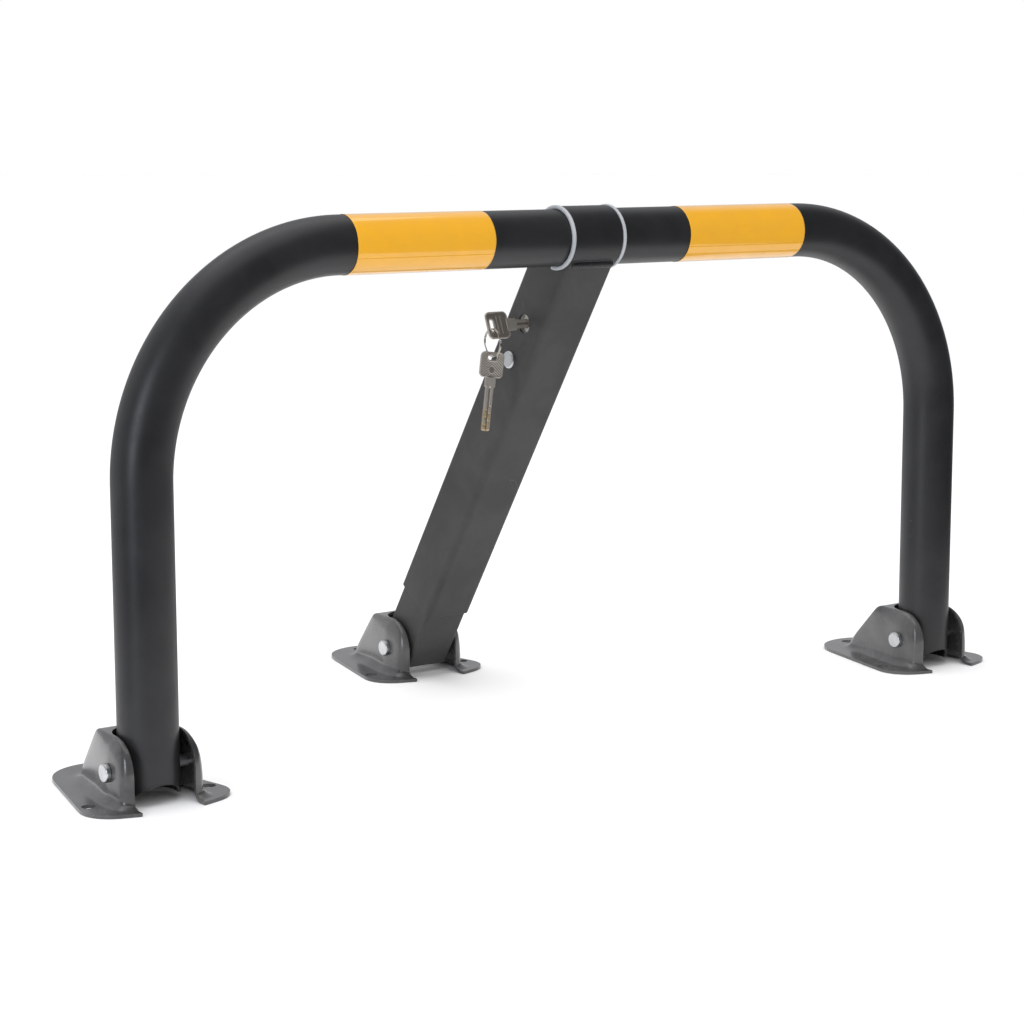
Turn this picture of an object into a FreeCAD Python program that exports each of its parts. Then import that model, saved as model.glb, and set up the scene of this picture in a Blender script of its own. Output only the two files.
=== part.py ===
import FreeCAD, Part
import math
import os

# Folding parking lock: a bent-tube hoop on two pressed feet, held upright by a telescoping prop
# that stands on a third foot and carries the lock.
# Frame: X runs along the hoop's bar, Z is up, the ground is Z = 0. The hoop folds towards -Y.
# Lengths are in millimetres and angles in degrees.

# ---------------------------------------------------------------- driving dimensions: hoop
tube_od = 51.0
tube_wall = 2.5
leg_spacing = 890.0
bar_height = 450.0
bend_radius = 188.0
leg_end_inset = 1.5
mitre_rise = 12.8
mitre_depth = 16.5
tape_thickness = 0.3
tape_width = 141.0
tape_left_margin = 4.5
tape_right_margin = 9.0

# ---------------------------------------------------------------- driving dimensions: feet
ground_gap = 3.2
prop_reach = 275.0
sheet = 3.0
cheek_width = 10.0
front_gap = 3.5
dome_corner_radius = 9.0
dome_shoulder_radius = 10.0
dome_shoulder_y = 34.0
dome_back_y = 100.0
dome_back_radius = 22.0
dome_back_angle = 47.0
slot_side_gap = 2.5
slot_back_gap = 5.5
flange_back = 128.0
flange_toe = 13.5
flange_side = 28.0
flange_lobe_radius = 29.0
flange_back_radius = 44.0
flange_tip_radius = 2.0
anchor_hole_radius = 6.0
anchor_from_cheek = 17.0
anchor_side_y = 0.0
anchor_back_y = 112.0

# ---------------------------------------------------------------- driving dimensions: pivot pins
pin_radius = 5.0
pin_head_margin = 3.0
pin_head_height = 4.0
pin_tail_margin = 2.0
pin_tail_height = 3.0
washer_margin = 4.0
washer_thickness = 1.6

# ---------------------------------------------------------------- driving dimensions: motion
fold_angle = 89.5
fold_steps = 60

# ---------------------------------------------------------------- driving dimensions: collar
collar_wall = 2.65
collar_spare_length = 0.2
ring_height = 3.7
ring_width = 4.8
ring_gap_angle = 60.0
ring_gap_opening = 30.0
weld_leg = 3.0

# ---------------------------------------------------------------- driving dimensions: prop
prop_width = 52.0
prop_saddle_inset = 0.7
prop_wall = 2.2
prop_corner_radius = 6.0
prop_end_from_pivot = 63.1
channel_wall = 2.5
channel_end_past_pivot = 7.0
channel_head = 84.0
channel_key_side_head = 156.0
channel_window_gap = 0.7

# ---------------------------------------------------------------- driving dimensions: lock
lock_from_bar = 96.0
rivet_from_bar = 137.5
lock_hole_gap = 1.0
cylinder_wall = 2.5
cylinder_recess = 0.8
plug_wall = 1.2
case_wall = 2.5
case_above_lock = 14.0
case_below_rivet = 12.0
case_reach = 31.2
cam_thickness = 2.5
cam_half_width = 5.0
cam_end_gap = 1.3
cam_screw_radius = 4.5
cam_screw_height = 3.5
cam_shank_radius = 1.9
rivet_head_radius = 8.3
rivet_head_height = 2.6
rivet_shank_radius = 4.0
rivet_shank_depth = 12.0
pin_count = 5
pin_pitch = 4.5
first_pin = 5.0
tumbler_radius = 1.1
key_pin_short = 0.4
driver_foot_out = 0.2
driver_top_out = 1.1
spring_top_out = 1.9
spring_hole_radius = 0.5

# ---------------------------------------------------------------- driving dimensions: keys
bow_length = 23.5
bow_width = 25.5
bow_corner_radius = 4.5
key_thickness = 2.2
shoulder_length = 9.0
shoulder_width = 12.0
blade_length = 40.0
blade_width = 8.6
blade_groove = 0.5
blade_groove_width = 2.6
key_slot_length = 11.0
key_slot_width = 4.6
key_slot_from_end = 5.2
key_tilt = -22.0
key_stand_off = 17.7
ring_wire_radius = 0.9
ring_mean_radius = 12.4
ring_seat = 3.4
spare_lean = 7.5

# ---------------------------------------------------------------- clearances
running_gap = 0.05
slide_gap = 0.3
axial_gap = 0.3
seat_gap = 0.02
key_gap = 0.15

# ---------------------------------------------------------------- worked-out places
tube_radius = tube_od / 2
half_spacing = leg_spacing / 2
leg_end_drop = tube_radius - leg_end_inset
tape_left_x = bend_radius + tape_left_margin + tape_width / 2 - half_spacing
tape_right_x = half_spacing - bend_radius - tape_right_margin - tape_width / 2
channel_width = prop_width - 2 * (prop_wall + slide_gap)
pivot_height = tube_radius + ground_gap
dome_front_reach = tube_radius + front_gap
dome_slot_half = max(tube_radius, channel_width / 2) + slot_side_gap
dome_slot_back = dome_slot_half - slot_side_gap + slot_back_gap
dome_half_width = dome_slot_half + cheek_width
flange_front = dome_front_reach + flange_toe
flange_half_width = dome_half_width + flange_side
anchor_side_x = dome_half_width + anchor_from_cheek
pin_head_radius = pin_radius + pin_head_margin
pin_tail_radius = pin_radius + pin_tail_margin
washer_radius = pin_radius + washer_margin
hoop_y = -(prop_reach + flange_back - flange_front) / 2
prop_foot_y = hoop_y + prop_reach
bar_rise = bar_height - pivot_height
prop_angle = math.degrees(math.atan2(prop_reach, bar_rise))
prop_length = math.hypot(prop_reach, bar_rise)
prop_end = prop_length - prop_end_from_pivot
collar_length = prop_width + collar_spare_length
collar_radius = tube_radius + running_gap + collar_wall
ring_radius = tube_radius + ring_height
prop_depth = 2 * (collar_radius - prop_saddle_inset)
channel_depth = prop_depth - 2 * (prop_wall + slide_gap)
plug_radius = blade_width / 2 + plug_wall
cylinder_radius = plug_radius + cylinder_wall
lock_hole_radius = cylinder_radius + lock_hole_gap
case_half_depth = cylinder_radius + case_wall
cam_reach = prop_depth / 2 - prop_wall - cam_end_gap
cam_sweep_half = math.sqrt(cam_reach**2 - (channel_depth / 2 - channel_wall)**2)
channel_window_length = 2 * (cam_sweep_half + channel_window_gap)
key_pin_top = plug_radius - key_pin_short
driver_foot = plug_radius + driver_foot_out
driver_top = plug_radius + driver_top_out
spring_top = plug_radius + spring_top_out
dome_height = pivot_height + dome_front_reach
prop_face = prop_width / 2
case_face = prop_face - prop_wall
case_back = case_reach - case_face
bow_outer_end = prop_face + key_stand_off + bow_length
key_slot_x = -(bow_outer_end - key_slot_from_end)


def tilt_travel():
    """How far the inner member moves sideways in the outer tube when both turn at an even rate."""
    fold = math.radians(fold_angle)
    start = math.atan2(prop_reach, bar_rise)
    end = math.atan2(prop_reach + bar_rise * math.sin(fold), bar_rise * math.cos(fold))
    worst = 0
    for step in range(fold_steps + 1):
        turn = fold * step / fold_steps
        back = prop_reach + bar_rise * math.sin(turn)
        up = bar_rise * math.cos(turn)
        even = start + (end - start) * step / fold_steps
        worst = max(worst, abs(math.hypot(back, up) * math.sin(math.atan2(back, up) - even)))
    return worst


channel_relief = tilt_travel() + prop_corner_radius - prop_wall

X_AXIS = FreeCAD.Vector(1, 0, 0)
Y_AXIS = FreeCAD.Vector(0, 1, 0)
Z_AXIS = FreeCAD.Vector(0, 0, 1)
ORIGIN = FreeCAD.Vector(0, 0, 0)


def vec(x, y, z):
    return FreeCAD.Vector(x, y, z)


def block(x0, x1, y0, y1, z0, z1):
    """A box between two corners."""
    return Part.makeBox(x1 - x0, y1 - y0, z1 - z0, vec(x0, y0, z0))


def rod(radius, start, axis, length):
    """A solid cylinder from a start point along an axis."""
    return Part.makeCylinder(radius, length, start, axis)


def hull_face(circles):
    """The flat outline pulled tight round circles (x, y, radius) that are listed anticlockwise."""
    edges = []
    count = len(circles)
    tangents = []
    for i in range(count):
        xa, ya, ra = circles[i]
        xb, yb, rb = circles[(i + 1) % count]
        span = math.hypot(xb - xa, yb - ya)
        outward = math.atan2(yb - ya, xb - xa) - math.pi / 2 - math.asin((rb - ra) / span)
        nx, ny = math.cos(outward), math.sin(outward)
        tangents.append((vec(xa + ra * nx, ya + ra * ny, 0), vec(xb + rb * nx, yb + rb * ny, 0), outward))
    for i in range(count):
        start, end, outward = tangents[i]
        edges.append(Part.LineSegment(start, end).toShape())
        following = tangents[(i + 1) % count]
        x, y, r = circles[(i + 1) % count]
        turn = (following[2] - outward) % (2 * math.pi)
        middle = outward + turn / 2
        arc = Part.Arc(end, vec(x + r * math.cos(middle), y + r * math.sin(middle), 0), following[0])
        edges.append(arc.toShape())
    return Part.Face(Part.Wire(edges))


def shrunk(circles, inset):
    """The same circles with smaller radii, so that their hull is the outline moved inwards."""
    return [(x, y, r - inset) for x, y, r in circles]


def along_x(face, x0, x1):
    """A face drawn in (y, z), extruded along X."""
    turned = face.copy()
    turned.rotate(ORIGIN, Y_AXIS, 90)
    turned.rotate(ORIGIN, X_AXIS, 90)
    turned.translate(vec(x0, 0, 0))
    return turned.extrude(vec(x1 - x0, 0, 0))


def in_prop_frame(shape):
    """Lean a part drawn on an upright prop (bar axis at the origin, foot at -Z) into its place."""
    shape.rotate(ORIGIN, X_AXIS, prop_angle)
    shape.translate(vec(0, hoop_y, bar_height))
    return shape


def lock_place(shape, tilt):
    """Turn a lock part about X and put its axis, drawn on the X axis, on the lock's axis."""
    shape.rotate(ORIGIN, X_AXIS, tilt - prop_angle)
    shape.translate(vec(0, 0, -lock_from_bar))
    return in_prop_frame(shape)


# ---------------------------------------------------------------- feet
def dome_plan():
    """Plan outline of the dome: square front corners, straight flanks, a round tapering back."""
    corner_x = dome_half_width - dome_corner_radius
    corner_y = dome_corner_radius - dome_front_reach
    flank_x = dome_half_width - dome_back_radius
    return [
        (corner_x, corner_y, dome_corner_radius),
        (flank_x, 0, dome_back_radius),
        (0, dome_back_y - dome_back_radius, dome_back_radius),
        (-flank_x, 0, dome_back_radius),
        (-corner_x, corner_y, dome_corner_radius),
    ]


def dome_profile():
    """Side outline of the dome in (y, z): round about the pivot, a flat top and a sloping back."""
    r = dome_shoulder_radius
    slope = math.radians(dome_back_angle)
    foot_z = -r
    line_z = foot_z + r * math.sin(slope)
    foot_y = dome_back_y - line_z * math.tan(slope) - r * math.cos(slope)
    return [
        (r - dome_front_reach, foot_z, r),
        (foot_y, foot_z, r),
        (dome_shoulder_y, dome_height - r, r),
        (0, pivot_height, dome_front_reach),
    ]


def dome_solid(inset):
    """The dome as a solid: its plan outline met by its side outline."""
    plan = hull_face(shrunk(dome_plan(), inset))
    plan.translate(vec(0, 0, -2 * dome_shoulder_radius))
    tall = plan.extrude(vec(0, 0, 2 * dome_shoulder_radius + dome_height))
    side = along_x(hull_face(shrunk(dome_profile(), inset)), -dome_half_width, dome_half_width)
    return tall.common(side)


def flange_plate():
    """The flat flange with its three anchor holes."""
    lobe_x = flange_half_width - flange_lobe_radius
    lobe_y = anchor_side_y - 10
    tip_x = dome_slot_half + flange_tip_radius
    tip_y = flange_tip_radius - flange_front
    outline = [
        (tip_x, tip_y, flange_tip_radius),
        (lobe_x, lobe_y, flange_lobe_radius),
        (0, flange_back - flange_back_radius, flange_back_radius),
        (-lobe_x, lobe_y, flange_lobe_radius),
        (-tip_x, tip_y, flange_tip_radius),
    ]
    plate = hull_face(outline).extrude(vec(0, 0, sheet))
    for x, y in ((anchor_side_x, anchor_side_y), (-anchor_side_x, anchor_side_y), (0, anchor_back_y)):
        plate = plate.cut(rod(anchor_hole_radius, vec(x, y, -sheet), Z_AXIS, 3 * sheet))
    return plate


def foot_shell(x, y):
    """One pressed foot: flange and open dome, with the pivot holes through both cheeks."""
    ground = block(-dome_half_width, dome_half_width, -flange_back, flange_back, 0, dome_height)
    shell = dome_solid(0).common(ground).fuse(flange_plate())
    shell = shell.cut(dome_solid(sheet))
    opening = hull_face([
        (dome_slot_half - 1, -2 * flange_front, 1),
        (0, dome_slot_back - dome_slot_half, dome_slot_half),
        (1 - dome_slot_half, -2 * flange_front, 1),
    ])
    opening.translate(vec(0, 0, -sheet))
    shell = shell.cut(opening.extrude(vec(0, 0, dome_height + 2 * sheet)))
    bore = rod(pin_radius + running_gap, vec(-flange_half_width, 0, pivot_height), X_AXIS, 2 * flange_half_width)
    shell = shell.cut(bore).removeSplitter()
    shell.translate(vec(x, y, 0))
    return shell


def pivot_pin(x, y):
    """A pin with a domed head on the -X side and a peened tail over a washer on the +X side."""
    reach = dome_half_width
    tail_x = reach + washer_thickness
    shank = rod(pin_radius, vec(-reach, 0, 0), X_AXIS, reach + tail_x)
    head = rod(pin_head_radius, vec(-reach - pin_head_height, 0, 0), X_AXIS, pin_head_height)
    head = head.makeFillet(1.4, [e for e in head.Edges if abs(e.BoundBox.XMax + reach + pin_head_height) < 0.01])
    tail = Part.makeCone(pin_tail_radius, pin_radius - 1, pin_tail_height, vec(tail_x, 0, 0), X_AXIS)
    pin = shank.fuse([head, tail]).removeSplitter()
    pin.translate(vec(x, y, pivot_height))
    return pin


def pin_washer(x, y):
    """The plain washer under a pin's peened tail."""
    washer = rod(washer_radius, vec(dome_half_width, 0, 0), X_AXIS, washer_thickness)
    hole = rod(pin_radius + running_gap, vec(dome_half_width - 1, 0, 0), X_AXIS, washer_thickness + 2)
    washer = washer.cut(hole)
    washer.translate(vec(x, y, pivot_height))
    return washer


# ---------------------------------------------------------------- hoop
def hoop_path():
    """Centre line of the hoop: leg, bend, bar, bend, leg."""
    foot_z = pivot_height - leg_end_drop
    low = bar_height - bend_radius
    inner = half_spacing - bend_radius
    reach = bend_radius * math.sqrt(0.5)
    left_mid = vec(-inner - reach, 0, low + reach)
    right_mid = vec(inner + reach, 0, low + reach)
    return Part.Wire([
        Part.LineSegment(vec(-half_spacing, 0, foot_z), vec(-half_spacing, 0, low)).toShape(),
        Part.Arc(vec(-half_spacing, 0, low), left_mid, vec(-inner, 0, bar_height)).toShape(),
        Part.LineSegment(vec(-inner, 0, bar_height), vec(inner, 0, bar_height)).toShape(),
        Part.Arc(vec(inner, 0, bar_height), right_mid, vec(half_spacing, 0, low)).toShape(),
        Part.LineSegment(vec(half_spacing, 0, low), vec(half_spacing, 0, foot_z)).toShape(),
    ])


def hoop_tube():
    """The bent tube with mitred leg ends and pin holes."""
    path = hoop_path()
    rings = []
    for radius in (tube_radius, tube_radius - tube_wall):
        start = vec(-half_spacing, 0, pivot_height - leg_end_drop)
        ring = Part.Wire(Part.Circle(start, Z_AXIS, radius).toShape())
        rings.append(path.makePipeShell([ring], True, False))
    hoop = rings[0].cut(rings[1])
    low_z = pivot_height - leg_end_drop
    wedge_points = [
        vec(0, -tube_radius - 1, low_z - 1),
        vec(0, mitre_depth - tube_radius, low_z - 1),
        vec(0, mitre_depth - tube_radius, low_z),
        vec(0, -tube_radius, low_z + mitre_rise),
        vec(0, -tube_radius - 1, low_z + mitre_rise),
    ]
    wedge = Part.Face(Part.makePolygon(wedge_points + wedge_points[:1]))
    wedge.translate(vec(-half_spacing - tube_od, 0, 0))
    hoop = hoop.cut(wedge.extrude(vec(leg_spacing + 2 * tube_od, 0, 0)))
    for side in (-1, 1):
        start = vec(side * half_spacing - tube_od, 0, pivot_height)
        hoop = hoop.cut(rod(pin_radius + running_gap, start, X_AXIS, 2 * tube_od))
    hoop.translate(vec(0, hoop_y, 0))
    return hoop


def bar_sleeve(x0, x1, inner, outer):
    """A plain sleeve round the bar between two X stations."""
    sleeve = rod(outer, vec(x0, hoop_y, bar_height), X_AXIS, x1 - x0)
    return sleeve.cut(rod(inner, vec(x0 - 1, hoop_y, bar_height), X_AXIS, x1 - x0 + 2))


def reflective_tape(x):
    """One turn of reflective tape round the bar."""
    inner = tube_radius + seat_gap
    return bar_sleeve(x - tape_width / 2, x + tape_width / 2, inner, inner + tape_thickness)


def retaining_ring(side):
    """A C-shaped ring that keeps the collar in place; its mouth faces down and back."""
    x_near = collar_length / 2 + axial_gap
    x0 = x_near if side > 0 else -x_near - ring_width
    ring = bar_sleeve(x0, x0 + ring_width, tube_radius + seat_gap, ring_radius)
    half = math.radians(ring_gap_opening / 2)
    reach = 2 * ring_radius
    mouth = Part.Face(Part.makePolygon([
        ORIGIN,
        vec(0, -reach * math.sin(half), -reach * math.cos(half)),
        vec(0, reach * math.sin(half), -reach * math.cos(half)),
        ORIGIN,
    ]))
    mouth = mouth.extrude(vec(ring_width + 2, 0, 0))
    mouth.rotate(ORIGIN, X_AXIS, ring_gap_angle)
    mouth.translate(vec(x0 - 1, hoop_y, bar_height))
    return ring.cut(mouth)


# ---------------------------------------------------------------- collar and prop
def collar_sleeve():
    """The sleeve that turns on the bar."""
    return bar_sleeve(-collar_length / 2, collar_length / 2, tube_radius + running_gap, collar_radius)


def square_prism(width, depth, radius, z0, z1):
    """A square bar with rounded corners, standing between two heights."""
    x = width / 2 - radius
    y = depth / 2 - radius
    face = hull_face([(x, -y, radius), (x, y, radius), (-x, y, radius), (-x, -y, radius)])
    face.translate(vec(0, 0, z0))
    return face.extrude(vec(0, 0, z1 - z0))


def bar_rod(radius):
    """A cylinder on the bar's axis, in the prop's own frame, for saddle cuts."""
    return rod(radius, vec(-prop_width, 0, 0), X_AXIS, 2 * prop_width)


def prop_outer_tube():
    """The square outer tube: saddle-cut to the collar, with holes for the lock and its rivet."""
    tube = square_prism(prop_width, prop_depth, prop_corner_radius, -prop_end, 0)
    core = square_prism(prop_width - 2 * prop_wall, prop_depth - 2 * prop_wall,
                        prop_corner_radius - prop_wall, -prop_end - 1, 1)
    tube = tube.cut(core).cut(bar_rod(collar_radius + seat_gap))
    tube = tube.cut(rod(lock_hole_radius, vec(-prop_width, 0, -lock_from_bar), X_AXIS, prop_width))
    shank = rod(rivet_shank_radius + running_gap, vec(-prop_width, 0, -rivet_from_bar), X_AXIS, prop_width)
    return in_prop_frame(tube.cut(shank))


def collar_weld():
    """The weld bead round the saddle joint of the outer tube and the collar."""
    wide = square_prism(prop_width + 2 * weld_leg, prop_depth + 2 * weld_leg,
                        prop_corner_radius + weld_leg, -prop_width, 0)
    tube = square_prism(prop_width + 2 * seat_gap, prop_depth + 2 * seat_gap,
                        prop_corner_radius, -prop_width - 1, 1)
    bead = wide.cut(tube).common(bar_rod(collar_radius + weld_leg)).cut(bar_rod(collar_radius + seat_gap))
    within = block(-collar_length / 2, collar_length / 2, -prop_depth, prop_depth, -prop_width, 0)
    return in_prop_frame(bead.common(within))


def prop_inner_channel():
    """The inner member: a channel open at the back, its flanges cut down where it hides."""
    bottom = -prop_length - channel_end_past_pivot
    radius = prop_corner_radius - prop_wall - slide_gap
    channel = square_prism(channel_width, channel_depth, radius, bottom, -channel_head)
    inside = channel_width / 2 - channel_wall
    web_face = channel_wall - channel_depth / 2
    channel = channel.cut(block(-inside, inside, web_face, channel_depth, bottom - 1, 0))
    relief_y = channel_depth / 2 - channel_relief
    channel = channel.cut(block(-prop_width, prop_width, relief_y, channel_depth, -prop_end - axial_gap, 0))
    key_side = block(-prop_width, -inside, web_face, channel_depth, -channel_key_side_head, 0)
    channel = channel.cut(key_side)
    cam_x = case_back + axial_gap + cam_thickness / 2
    window_half = cam_thickness / 2 + 1
    window_low = -lock_from_bar - channel_window_length / 2
    window = block(cam_x - window_half, cam_x + window_half, -channel_depth, web_face + 1,
                   window_low, window_low + channel_window_length)
    channel = channel.cut(window)
    bore = rod(pin_radius + running_gap, vec(-prop_width, 0, -prop_length), X_AXIS, 2 * prop_width)
    return in_prop_frame(channel.cut(bore).removeSplitter())


# ---------------------------------------------------------------- lock
def lock_case():
    """The block inside the outer tube that holds the cylinder."""
    top = case_above_lock - lock_from_bar
    bottom = -rivet_from_bar - case_below_rivet
    case = block(-case_face, case_back, -case_half_depth, case_half_depth, bottom, top)
    case = case.makeFillet(2.0, [e for e in case.Edges if e.BoundBox.XLength > 1])
    bore = rod(cylinder_radius + seat_gap, vec(-prop_width, 0, -lock_from_bar), X_AXIS, 2 * prop_width)
    case = case.cut(bore)
    depth = rivet_shank_depth + prop_wall + 1
    shank = rod(rivet_shank_radius + seat_gap, vec(-prop_face, 0, -rivet_from_bar), X_AXIS, depth)
    return in_prop_frame(case.cut(shank))


def case_rivet():
    """The domed rivet that fixes the case to the tube wall."""
    head = rod(rivet_head_radius, vec(-prop_face - rivet_head_height, 0, 0), X_AXIS, rivet_head_height)
    rim = [e for e in head.Edges if abs(e.BoundBox.XMax + prop_face + rivet_head_height) < 0.01]
    head = head.makeFillet(rivet_head_height * 0.7, rim)
    shank = rod(rivet_shank_radius, vec(-prop_face, 0, 0), X_AXIS, rivet_shank_depth + prop_wall)
    rivet = head.fuse(shank).removeSplitter()
    rivet.translate(vec(0, 0, -rivet_from_bar))
    return in_prop_frame(rivet)


def tumblers(foot, top, hole):
    """A row of tumbler pins or springs, standing on the flat of the key along +Y."""
    row = []
    for i in range(pin_count):
        x = first_pin + i * pin_pitch - case_face
        stud = rod(tumbler_radius, vec(x, foot, 0), Y_AXIS, top - foot)
        if hole:
            stud = stud.cut(rod(hole, vec(x, foot - 1, 0), Y_AXIS, top - foot + 2))
        row.append(stud)
    return Part.makeCompound(row)


def tumbler_bores(foot, top):
    """The drilled chambers that a row of tumblers stands in."""
    row = []
    for i in range(pin_count):
        x = first_pin + i * pin_pitch - case_face
        row.append(rod(tumbler_radius + running_gap, vec(x, foot, 0), Y_AXIS, top - foot))
    return row


def lock_cylinder():
    """The fixed cylinder, bored for the plug and drilled for the driver pins."""
    start = cylinder_recess - case_face
    body = rod(cylinder_radius, vec(start, 0, 0), X_AXIS, case_back - start)
    body = body.cut(rod(plug_radius + running_gap, vec(-prop_width, 0, 0), X_AXIS, 2 * prop_width))
    body = body.cut(tumbler_bores(plug_radius - 1, spring_top + running_gap))
    return lock_place(body, key_tilt)


def lock_plug():
    """The turning plug with the key slot, the key-pin chambers and a thread hole for the cam screw."""
    start = cylinder_recess - case_face
    end = case_back + axial_gap / 2
    body = rod(plug_radius, vec(start, 0, 0), X_AXIS, end - start)
    slot_half = blade_width / 2 + key_gap
    slot_flat = key_thickness / 2 + key_gap
    tip = blade_tip_x() + key_gap
    body = body.cut(block(start - 1, tip, -slot_flat, slot_flat, -slot_half, slot_half))
    body = body.cut(tumbler_bores(0, plug_radius + 1))
    body = body.cut(rod(cam_shank_radius + seat_gap, vec(end - 1.2, 0, 0), X_AXIS, 2))
    return lock_place(body, key_tilt)


def lock_cam():
    """The tongue on the plug's inner end; it points at the bar when unlocked."""
    x0 = case_back + axial_gap
    narrow = cam_reach - cam_half_width
    tongue = hull_face([(0, 0, plug_radius), (narrow, 0, cam_half_width)])
    tongue = along_x(tongue, x0, x0 + cam_thickness)
    tongue.rotate(ORIGIN, X_AXIS, 90)
    tongue = tongue.cut(rod(cam_shank_radius + seat_gap, vec(x0 - 1, 0, 0), X_AXIS, cam_thickness + 2))
    return lock_place(tongue, prop_angle)


def cam_screw():
    """The screw that holds the cam on the plug."""
    x0 = case_back + axial_gap + cam_thickness
    head = rod(cam_screw_radius, vec(x0, 0, 0), X_AXIS, cam_screw_height)
    shank = rod(cam_shank_radius, vec(x0 - cam_thickness - 1.2, 0, 0), X_AXIS, cam_thickness + 1.2)
    return lock_place(head.fuse(shank).removeSplitter(), key_tilt)


# ---------------------------------------------------------------- keys
def blade_tip_x():
    """X of the inserted key's tip, on the lock's axis."""
    return shoulder_length + blade_length - prop_face - key_stand_off


def flat_key():
    """A key on the X axis, flat in XZ, the bow's outer end at X = 0 and the tip at +X."""
    r = bow_corner_radius
    half = bow_width / 2
    bow = hull_face([
        (r, r - half, r),
        (bow_length - r, r - half, r),
        (bow_length - r, half - r, r),
        (r, half - r, r),
    ])
    across = key_slot_length / 2 - key_slot_width / 2
    slot = hull_face([
        (key_slot_from_end, -across, key_slot_width / 2),
        (key_slot_from_end, across, key_slot_width / 2),
    ])
    plate = bow.cut(slot).extrude(vec(0, 0, key_thickness))
    neck = bow_length + shoulder_length
    shoulder = block(bow_length - 1, neck, -shoulder_width / 2, shoulder_width / 2, 0, key_thickness)
    blade = block(neck - 1, neck + blade_length, -blade_width / 2, blade_width / 2, 0, key_thickness)
    key = plate.fuse([shoulder, blade])
    groove = blade_groove_width / 2
    top = key_thickness - blade_groove
    key = key.cut(block(neck, neck + blade_length + 1, -groove, groove, top, key_thickness + 1))
    key.translate(vec(0, 0, -key_thickness / 2))
    key.rotate(ORIGIN, X_AXIS, 90)
    return key.removeSplitter()


def key_inserted():
    """The key in the lock."""
    key = flat_key()
    key.translate(vec(-bow_outer_end, 0, 0))
    return lock_place(key, key_tilt)


def lock_axis_point():
    """Where the lock's axis crosses the prop's mid plane."""
    lean = math.radians(prop_angle)
    return vec(0, hoop_y + lock_from_bar * math.sin(lean), bar_height - lock_from_bar * math.cos(lean))


def ring_hang_point():
    """Centre of the ring's wire where it passes through the inserted key's slot."""
    tilt = math.radians(key_tilt)
    drop = vec(0, ring_seat * math.sin(tilt), -ring_seat * math.cos(tilt))
    return lock_axis_point() + vec(key_slot_x, 0, 0) + drop


def key_ring():
    """The wire ring that hangs in the inserted key's slot."""
    centre = ring_hang_point() - vec(0, 0, ring_mean_radius)
    return Part.makeTorus(ring_mean_radius, ring_wire_radius, centre, X_AXIS)


def spare_hang_point():
    """Centre of the ring's wire at its lowest point, where the spare key hangs."""
    return ring_hang_point() - vec(0, 0, 2 * ring_mean_radius)


def key_spare():
    """The spare key, hanging tip down from the ring with its slot round the wire."""
    key = flat_key()
    wire_in_slot = key_slot_from_end - key_slot_width / 2 + ring_wire_radius + axial_gap
    key.translate(vec(-wire_in_slot, 0, 0))
    key.rotate(ORIGIN, Y_AXIS, 90 + spare_lean)
    key.translate(spare_hang_point())
    return key


# ---------------------------------------------------------------- export
feet_places = {
    "left": (-half_spacing, hoop_y),
    "right": (half_spacing, hoop_y),
    "prop": (0, prop_foot_y),
}
nodes = {
    "hoop_tube": hoop_tube(),
    "tape_left": reflective_tape(tape_left_x),
    "tape_right": reflective_tape(tape_right_x),
    "retaining_ring_left": retaining_ring(-1),
    "retaining_ring_right": retaining_ring(1),
    "collar_sleeve": collar_sleeve(),
    "collar_weld": collar_weld(),
    "prop_outer_tube": prop_outer_tube(),
    "prop_inner_channel": prop_inner_channel(),
    "lock_case": lock_case(),
    "case_rivet": case_rivet(),
    "lock_cylinder": lock_cylinder(),
    "lock_plug": lock_plug(),
    "key_pins": lock_place(tumblers(key_thickness / 2 + key_gap, key_pin_top, 0), key_tilt),
    "driver_pins": lock_place(tumblers(driver_foot, driver_top, 0), key_tilt),
    "pin_springs": lock_place(tumblers(driver_top + running_gap, spring_top, spring_hole_radius), key_tilt),
    "lock_cam": lock_cam(),
    "cam_screw": cam_screw(),
    "key_inserted": key_inserted(),
    "key_ring": key_ring(),
    "key_spare": key_spare(),
}
for place, (foot_x, foot_y) in feet_places.items():
    nodes["foot_" + place] = foot_shell(foot_x, foot_y)
    nodes["pivot_pin_" + place] = pivot_pin(foot_x, foot_y)
    nodes["pin_washer_" + place] = pin_washer(foot_x, foot_y)

os.makedirs("parts", exist_ok=True)
for name, shape in nodes.items():
    shape.exportStep("parts/" + name + ".step")
    box = shape.BoundBox
    print(name, len(shape.Solids), shape.isValid(), round(shape.Volume),
          [round(v, 1) for v in (box.XMin, box.XMax, box.YMin, box.YMax, box.ZMin, box.ZMax)])
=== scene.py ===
"""Looks of a folding parking lock: a hinged steel hoop held up by a locking telescopic prop."""

import math

import bmesh
import bpy
import numpy as np
from mathutils import Euler, Matrix, Vector


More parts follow.
